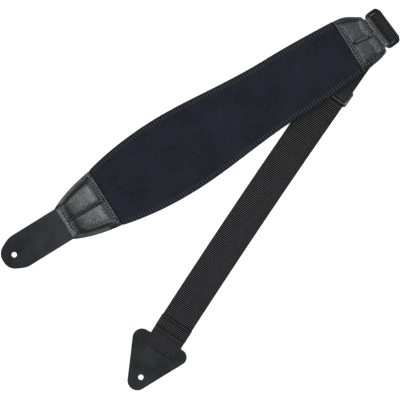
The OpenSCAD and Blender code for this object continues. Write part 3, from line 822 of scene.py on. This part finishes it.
def ring_cap_rest(x, y):
    """The ring cap's front before it swells: over the pad, with low hems at its sides and a raised tongue."""
    inset = tongue_half(x) - abs(y)
    on_pad = lift(x) + PAD_THICK + CAP_THICK
    tongue = smooth(0.606, 0.616, x)
    full = on_pad + 0.0007 + (KEEPER_THICK - 0.0007) * tongue
    low = lift(x) + RING_HEM
    hem = low + (on_pad - 0.0004 - low) * (1 - smooth(0.5795, 0.596, x))
    welt, fall = hem_shape(inset, x - PAD_SEEN[1])
    return hem + (full - hem) * smooth(0.0035, 0.0115 - 0.006 * tongue, inset) + welt - fall * (1 - tongue)


ring_cap_rise = cap_swell("ring_cap_cloth", (PAD_SEEN[1], RING_CAP_END), 25, tongue_half, ring_cap_rest,
                          lambda x, y: lift(x) + 0.001 + 0 * y, ring_cap_panel)


def ring_cap_top(x, y):
    """The ring cap's front: rest shape, swell, and the dips of its seams, with a line before the tongue's row."""
    line = 0.0007 * np.exp(-((x - RING_ROW) / 0.0017) ** 2) * smooth(0.004, 0.008, tongue_half(x) - abs(y))
    return (ring_cap_rest(x, y) + ring_cap_rise(x, y / tongue_half(x)) - line
            - cap_dips(x, y, tongue_half, RING_SEAM, (0.0021, 0.0021, 0.0009), RING_ROWS,
                       0.0011 * (1 - smooth(0.616, 0.620, x)) * smooth(0.003, 0.006, x - PAD_SEEN[1])))


def ring_cap_under(x, y):
    """The front's underside: down to the cap's back at its sewn sides, a vinyl's thickness below it elsewhere."""
    sewn = ((1 - smooth(0.0035, 0.0075, tongue_half(x) - abs(y))) * smooth(0.582, 0.598, x)
            * (1 - smooth(0.611, 0.616, x)))
    return (ring_cap_top(x, y) - CAP_THICK) * (1 - sewn) + (lift(x) + 0.00002) * sewn


def ring_cap_stitch_shade_masks(x, y):
    """The painted shade and painted highlight masks of the ring cap's seams."""
    return cap_stitch_shade_masks(x, y, tongue_half, RING_SEAM, RING_ROWS,
                     smooth(0.002, 0.003, x - PAD_SEEN[1]) * (1 - smooth(0.6215, 0.6225, x)))


def ring_cap_seat(x):
    """The top of the ring cap's back, which makes room for the keeper below the pad."""
    return lift(x) - KEEPER_THICK * smooth(0.592, 0.610, x)


sewn_cap("ring_cap", tongue_half, ring_frame, (PAD_SEEN[1], RING_CAP_END), (0.0007, 0.002, 0.002), ring_cap_top,
         ring_cap_under, ring_cap_seat, ring_cap_stitch_shade_masks, (0.592, 0.611), (PAD_SEEN[1] + 0.005, 0.617), RING_ROWS,
         RING_SEAM)


def path_frame(path, side):
    """The direction that faces up from a band along the path: its run times its side direction."""
    run = np.gradient(path, axis=0)
    run /= np.linalg.norm(run, axis=1, keepdims=True)
    up = np.cross(run, side)
    return up / np.linalg.norm(up, axis=1, keepdims=True)


def spaced(path, step):
    """A polyline's points again, step apart along its length, with their distances from its start."""
    length = np.concatenate([[0], np.cumsum(np.linalg.norm(np.diff(path, axis=0), axis=1))])
    at = np.linspace(0, length[-1], max(8, int(round(length[-1] / step))))
    return np.stack([np.interp(at, length, path[:, axis]) for axis in range(path.shape[1])], -1), at


def arc(centre, radius, first, last, count=24):
    """Points of an arc, from the first angle to the last, in degrees."""
    a = np.radians(np.linspace(first, last, count))
    return np.array(centre) + radius * np.column_stack([np.cos(a), np.sin(a)])


def in_row(origin, run, profile):
    """Points of a profile (distance along run from origin, height)."""
    profile = np.array(profile, float)
    return origin + run * profile[:, :1] + UP * profile[:, 1:]


bar_z = ring_hinge[2]
mid_r = PAD_THICK / 2 + KEEPER_THICK / 2
profile = np.vstack([(-0.014, bar_z - mid_r), (-0.005, bar_z - mid_r), arc((0, bar_z), mid_r, -90, 90, 40),
                     (-0.005, bar_z + mid_r), (-0.014, bar_z + mid_r)])
path, at = spaced(in_row(ring_hinge * (1, 1, 0), ring_ahead, profile), 0.0004)
side = np.tile(ring_side, (len(path), 1))
across = columns(np.full(len(path), KEEPER_HALF), (0.00003, 0.0002, 0.0005, 0.001, 0.002), 20)
round_bar = np.sin(np.clip((at - 0.009) / (at[-1] - 0.018), 0, 1) * math.pi)[:, None]
bulge = 0.0011 * (across / KEEPER_HALF) ** 2 * round_bar
high = KEEPER_THICK / 2 - rounded(KEEPER_HALF - abs(across), KEEPER_THICK / 2)
points = band(path, side, across, high - bulge, -high - bulge, path_frame(path, side))
keeper_look = vinyl("keeper_vinyl", (0.016, 0.017, 0.019), (0.032, 0.034, 0.037))
make_mesh("ring_keeper", points, band_faces(*points.shape[:2]), keeper_look, "root", "ring_keeper")


# ---------------------------------------------------------------- ring
# A glossy black moulded ring: two round bars, the inner one held by the keeper and the outer one by the webbing,
# and two flat-sided arms with large rounded corners. It stands tilted, its outer bar resting in the webbing.
outer_hinge = np.array(joints["web_swing"]["pos_m"])
ARM_HALF = (0.0028, 0.0029)
ARM_Y = 0.0280
CORNER_R = 0.0042

ring_run = outer_hinge - ring_hinge
ring_reach = np.linalg.norm(ring_run)
ring_run /= ring_reach
ring_up = np.cross(ring_run, ring_side)


def moulded(name, dark, light, roughness):
    """Injection-moulded plastic: an even gloss, faint flow marks and fine handling scratches."""
    look = Look(name, Coat_Weight=0.25, Coat_Roughness=0.08)
    flow = look.noise(160, 3)
    scratch = look.noise(2200, 2, 0.7)
    look.feed(Base_Color=look.mix(flow, dark, light), Roughness=roughness + 0.1 * flow + 0.08 * scratch)
    return look.bump(flow * 0.5 + scratch * 0.2, 0.00006)


ring_look = moulded("ring_moulding", (0.0035, 0.0035, 0.004), (0.009, 0.009, 0.010), 0.16)
corners = [(x, y * (ARM_Y - CORNER_R), turn) for x, y, turn in
           ((ring_reach - CORNER_R, 1, 0), (CORNER_R, 1, 90), (CORNER_R, -1, 180), (ring_reach - CORNER_R, -1, 270))]
loop = resample(np.vstack([arc((x, y), CORNER_R, turn, turn + 90, 16) for x, y, turn in corners]), 260)
outwards = loop - offset(loop, 1.0)
arm = smooth(ARM_Y - 0.006, ARM_Y - 0.001, abs(loop[:, 1]))[:, None]
wide, tall = (BAR_R + (half - BAR_R) * arm for half in ARM_HALF)
a = np.linspace(2 * math.pi, 0, 25)[:-1]
power = 1 - 0.45 * arm
cross = np.sign(np.cos(a)) * abs(np.cos(a)) ** power * wide
rise = np.sign(np.sin(a)) * abs(np.sin(a)) ** power * tall
flat = loop[:, None] + outwards[:, None] * cross[..., None]
points = ring_hinge + flat[..., :1] * ring_run + flat[..., 1:] * ring_side + rise[..., None] * ring_up
make_mesh("ring", points, grid_faces(*points.shape[:2], loop_n=True), ring_look, "ring", "ring")


# ---------------------------------------------------------------- webbing
# One length of 50 mm ribbed polypropylene webbing, 1.4 mm thick, cut and sewn. It goes round the ring's outer
# bar and turns a little in its own plane under the pad. The lower end is sewn round the adjuster's middle bar;
# the upper one runs over the adjuster, down through it and on to the end leather.
WEB_HALF = 0.025
WEB_THICK = 0.0014
RIB_PITCH = 0.00275
RIB_DEPTH = 0.00045
RIB_STEP = RIB_PITCH / 8
UPPER_Z = 0.0017
WEB_EDGE = (0.00003, 0.00012, 0.0003, 0.0006, 0.0011, 0.0018, 0.003)
LOOP_LENGTH = 0.091
TURN_AT = 0.0240082
TURN_R = 0.032
DIVE = 14
STITCH_ACROSS = (0.0034, 0.0024, 0.0003)
half_web = WEB_THICK / 2


def ribs(at):
    """1 on a rib's crest and 0 in the groove between two, one rib every pitch."""
    return abs(np.sin(math.pi * at / RIB_PITCH)) ** 0.7


def webbing(name, path, side, body, node, half=WEB_HALF, middle=12):
    """A stretch of webbing along a path, with one side direction or one for each point: ribs across it on both
    faces, a smooth woven edge, and a weave attribute that holds each point's place along and across it."""
    whole, at = spaced(np.column_stack([path, np.broadcast_to(side, path.shape)]), RIB_STEP)
    path, side = whole[:, :3], whole[:, 3:] / np.linalg.norm(whole[:, 3:], axis=1, keepdims=True)
    across = columns(np.full(len(at), half), WEB_EDGE, middle)
    inset = half - abs(across)
    groove = RIB_DEPTH * (1 - ribs(at))[:, None] * smooth(0.0004, 0.0014, inset)
    from_edge = np.minimum(np.minimum(at, at[-1] - at)[:, None] + 0.00003, inset)
    high = half_web - groove - rounded(from_edge, half_web - 0.00005)
    points = band(path, side, across, high, -high, path_frame(path, side))
    weave = np.stack([np.broadcast_to(at[:, None], across.shape), across, 0 * across], -1)
    return make_mesh(name, points, band_faces(*points.shape[:2]), web_look, body, node,
                     np.concatenate([weave, weave[:, ::-1]], 1))


def woven(name, groove, crest_highlight_colour):
    """Polypropylene webbing: warp yarns that bow over each rib, a little glossier on the crests, with a painted
    highlight on the crests and painted shade, near black, in the grooves.
    """
    look = Look(name, Specular_IOR_Level=0.08)
    weave = look.node("Attribute", {"attribute_name": "weave"}, {}, "Vector")
    along, over = look.part("X", weave), look.part("Y", weave)
    rib = (along * (math.pi / RIB_PITCH)).sine()
    rib = rib * rib
    yarn = (over * (2 * math.pi / 0.0013) + (along * (math.pi / RIB_PITCH)).sine() * 1.4).sine() * 0.5 + 0.5
    fibre = look.noise(2600, 2, 0.7, weave)
    wear = look.noise(120, 3, 0.6, weave)
    # Near black in the grooves as painted shade, and light on the crests as a painted highlight.
    look.feed(Base_Color=look.mix(((rib ** 3.6) * (0.55 + 0.45 * yarn) * (0.7 + 0.5 * wear)).clipped(),
                                  groove, crest_highlight_colour),
              Roughness=0.75 - 0.2 * rib)
    return look.bump(rib * (0.5 + 0.5 * yarn) + fibre * 0.3, 0.0003)


# The webbing's grooves are painted near black as painted shade, and its crests light as a painted highlight.
web_look = woven("ribbed_webbing", (0.0003, 0.0003, 0.0004), (0.132, 0.127, 0.130))

outer_flat = outer_hinge * (1, 1, 0)
wrap_mid = BAR_R + 0.0001 + half_web
dive = math.radians(DIVE)
drop_z = outer_hinge[2] + wrap_mid * math.cos(dive)
level_x = -wrap_mid * math.sin(dive) - (drop_z - UPPER_Z - half_web) / math.tan(dive)
bend = arc((level_x + 0.0002, UPPER_Z + half_web), 0.0001, 90, 120, 3)
profile = np.vstack([(-TURN_AT, half_web), arc((0, outer_hinge[2]), wrap_mid, -90, 90 + DIVE, 60), bend,
                     (-TURN_AT, UPPER_Z + half_web)])
middle_path = in_row(outer_flat, ring_ahead, profile)
ring_heading = math.atan2(ring_ahead[1], ring_ahead[0])
adjust_axis = np.array(joints["adjust"]["axis"])
strand_heading = math.atan2(-adjust_axis[1], -adjust_axis[0])
turn_centre = (outer_flat - TURN_AT * ring_ahead)[:2] - TURN_R * np.array((-math.sin(ring_heading),
                                                                         math.cos(ring_heading)))
a = np.linspace(ring_heading, strand_heading, 16)
turn_side = np.column_stack([-np.sin(a), np.cos(a), 0 * a])
turn_arc = np.array((*turn_centre, 0)) + TURN_R * turn_side
lower, upper = (turn_arc + UP * height for height in (half_web, UPPER_Z + half_web))
path = np.vstack([lower[:0:-1], middle_path, upper[1:]])
turns = np.vstack([turn_side[:0:-1], np.tile(ring_side, (len(middle_path), 1)), turn_side[1:]])
webbing("ring_webbing", path, turns, "web_loop", "ring_webbing", middle=14)

strand_run = -np.array((*adjust_axis[:2], 0)) / np.linalg.norm(adjust_axis[:2])
strand_side = np.array((-strand_run[1], strand_run[0], 0))
strand_start = turn_arc[-1]
glide = strand_start - LOOP_LENGTH * strand_run
FOLD_LENGTH = 0.022
PASS_LENGTH = 0.0143
BAR_TOP = 0.0039
OVER_Z = 0.0055 + half_web

short = webbing("short_strand", in_row(glide, strand_run, [(LOOP_LENGTH, half_web), (FOLD_LENGTH, half_web)]),
                -strand_side, None, "short_strand", middle=6)
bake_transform(short)
s = np.linspace(LOOP_LENGTH, PASS_LENGTH, 40)
heights = UPPER_Z + half_web
heights = heights + (OVER_Z - heights) * smooth(-(FOLD_LENGTH + 0.016), -(PASS_LENGTH + 0.0006), -s)
long = webbing("long_strand", in_row(glide, strand_run, np.column_stack([s, heights])), -strand_side, None,
               "long_strand")
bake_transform(long)


# ---------------------------------------------------------------- adjuster
# A black moulded tri-glide with three bars and two slots. The webbing's short end is folded round the middle bar
# and sewn to itself; the long strand goes over the front and middle bars and down behind, under the rear bar.
def softened(name, node, width, look, body):
    """A copy of a machined piece with its flat faces made whole and its edges rounded to that width."""
    shape = bmesh.new()
    shape.from_mesh(frame["nodes"][node].data)
    bmesh.ops.remove_doubles(shape, verts=shape.verts, dist=1e-6)
    bmesh.ops.dissolve_limit(shape, angle_limit=math.radians(1), verts=shape.verts, edges=shape.edges)
    bmesh.ops.recalc_face_normals(shape, faces=shape.faces)
    edges = [edge for edge in shape.edges if len(edge.link_faces) == 2 and edge.calc_face_angle() > math.radians(30)]
    bmesh.ops.bevel(shape, geom=edges, offset=width, segments=4, affect="EDGES", clamp_overlap=True)
    mesh = bpy.data.meshes.new(name)
    shape.to_mesh(mesh)
    shape.free()
    settle(name, mesh, look, body, node)


glide_look = moulded("adjuster_moulding", (0.0035, 0.0035, 0.004), (0.010, 0.010, 0.011), 0.26)
softened("adjuster", "adjuster", 0.0007, glide_look, "adjuster")

fold = [(FOLD_LENGTH, half_web), (-0.0026, half_web), (-0.0032, half_web + 0.0006),
        (-0.0033, BAR_TOP), (-0.0027, BAR_TOP + 0.0007), (0.0024, BAR_TOP + 0.0008), (0.0034, BAR_TOP + 0.0005),
        (0.0062, 0.0024), (0.0074, 0.0022), (FOLD_LENGTH, 0.0022)]
webbing("adjuster_fold", in_row(glide, strand_run, fold), -strand_side, "adjuster", "adjuster_fold", middle=6)
passing = np.vstack([(PASS_LENGTH, OVER_Z), (-0.0030, OVER_Z), arc((-0.0032, OVER_Z - 0.0015), 0.0015, 90, 175, 8),
                     arc((-0.0068, half_web + 0.0016), 0.0016, 0, -90, 8), (-PASS_LENGTH, half_web)])
webbing("adjuster_pass", in_row(glide, strand_run, passing), -strand_side, "adjuster", "adjuster_pass")
web_thread_look = thread("webbing_thread", (0.005, 0.005, 0.0055), (0.02, 0.02, 0.021), 0.35, 0.0007, 1)


def seam_across(name, middle, side, reach, body, node):
    """A row of stitches across the webbing, as far as reach to both sides of its middle point."""
    stitches(name, lambda s: middle + side * s[:, None], (-reach, reach), STITCH_ACROSS, web_thread_look,
             body, node)


for number, back in enumerate((0.003, 0.007)):
    seam_across(f"adjuster_seam_{number + 1}", glide + strand_run * (FOLD_LENGTH - back) + UP * 0.00285,
                strand_side, 0.021, "adjuster", "adjuster_stitching")


# ---------------------------------------------------------------- single strand and its end
# Behind the adjuster the webbing runs as one strand, bowed slightly in its own plane, to the end leather. There
# it is folded through the leather's slot and sewn back on itself with two rows across.
end_hinge = np.array(joints["end_swing"]["pos_m"])
end_side = np.array(joints["end_swing"]["axis"])
tip_way = np.cross(UP, end_side)
tip_way /= np.linalg.norm(tip_way)
end_side = np.cross(UP, tip_way)
HINGE_BACK = 0.025
DROP_LENGTH = 0.463
OVERLAP = 0.050
FLEX = 0.030
end_fold_point = end_hinge * (1, 1, 0) + HINGE_BACK * tip_way
bow = math.atan2(-tip_way[1], -tip_way[0]) - strand_heading

s = np.linspace(PASS_LENGTH, DROP_LENGTH - OVERLAP, 60)
lean = strand_heading + bow * s / DROP_LENGTH / 2
path = glide - s[:, None] * np.column_stack([np.cos(lean), np.sin(lean), 0 * s]) + UP * half_web
lean = strand_heading + bow * s / DROP_LENGTH
drop = webbing("single_strand", path, np.column_stack([np.sin(lean), -np.cos(lean), 0 * s]), None, "drop_strand")
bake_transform(drop)

END_WEB_TOP = 3 * half_web
webbing("end_overlap", in_row(end_fold_point, tip_way, [(-OVERLAP, half_web), (-FLEX, half_web)]), end_side,
        "end_web", "end_overlap")
webbing("end_overlap_back", in_row(end_fold_point, tip_way, [(-OVERLAP - 0.0006, END_WEB_TOP), (-FLEX, END_WEB_TOP)]),
        end_side, "end_web", "end_overlap", half=WEB_HALF + 0.0007)
for number, place in enumerate((0.0035, 0.017)):
    seam_across(f"end_seam_{number + 1}",
                end_fold_point + tip_way * (place - OVERLAP) + UP * (2 * WEB_THICK + 0.00005),
                end_side, 0.0225, "end_web", "end_stitching")

LEATHER_REST = 0.0017
END_THICK = 0.0028
LEATHER_BACK = 0.0203
sleeve = LEATHER_REST + END_THICK + 0.0003 + half_web
fold = [(-FLEX, half_web), (-0.0022, half_web), (-0.0008, half_web + 0.0004), (-0.0004, half_web + 0.0012),
        (-0.0004, sleeve - 0.0012), (-0.0008, sleeve - 0.0004), (-0.0020, sleeve), (-LEATHER_BACK - 0.001, sleeve),
        (-LEATHER_BACK - 0.003, sleeve - 0.0006), (-FLEX + 0.0032, END_WEB_TOP + 0.0002), (-FLEX, END_WEB_TOP)]
fold = webbing("end_fold", in_row(end_fold_point, tip_way, fold), end_side, None, "end_fold", WEB_HALF + 0.0003)
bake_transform(fold)


# ---------------------------------------------------------------- end leather
# A three-lobed piece of grey-green oiled leather. Two lobes stand out beside the webbing, which passes through a
# slot between them, and the third carries the second strap-button hole.
LOBES = (((-0.0034, -0.0319), 0.0139), ((0.0535, -0.0036), 0.0146), ((-0.0085, 0.0293), 0.0118))
END_HOLE = (0.0467, -0.0018)
END_SLOT = ((-0.0022, 0.0005), (-0.0254, 0.0254), (-0.004, 0.012))
LIE = (0.004, 0.020)


def lobed(lobes, count):
    """The belt round three circles: each arc runs between the outer tangents to its neighbours."""
    runs = []
    for k, (here, r) in enumerate(lobes):
        (before, rb), (after, ra) = lobes[k - 1], lobes[(k + 1) % len(lobes)]
        def tangent(a, first, b, second):
            d = np.array(b) - np.array(a)
            return math.degrees(math.atan2(d[1], d[0]) - math.acos((first - second) / np.linalg.norm(d)))
        start, stop = tangent(before, rb, here, r), tangent(here, r, after, ra)
        runs.append(arc(here, r, start, start + (stop - start) % 360, 40))
    return resample(np.vstack(runs), count)


outline = lobed(LOBES, 300)


def leather_rest(curve):
    """The end leather's underside: on the webbing beside the slot, and down on the table towards the tip."""
    return LEATHER_REST * (1 - smooth(*LIE, curve[:, 0]))


def on_end(flat):
    """Points given as distances towards the tip, across and up from the fold in the slot."""
    return end_fold_point + flat[..., :1] * tip_way + flat[..., 1:2] * end_side + flat[..., 2:] * UP


points = on_end(plate(outline, round_hole(outline, END_HOLE, HOLE_R), leather_rest, END_THICK))
end_look = harness_leather("oiled_leather", (0.0075, 0.0098, 0.0100), (0.036, 0.044, 0.043), 950, 0.62)
leather = make_mesh("end_leather", points, grid_faces(*points.shape[:2], loop_n=True), end_look,
                    None, "end_leather")
cut_box(leather, END_SLOT, on_end)
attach(leather, "end_piece")
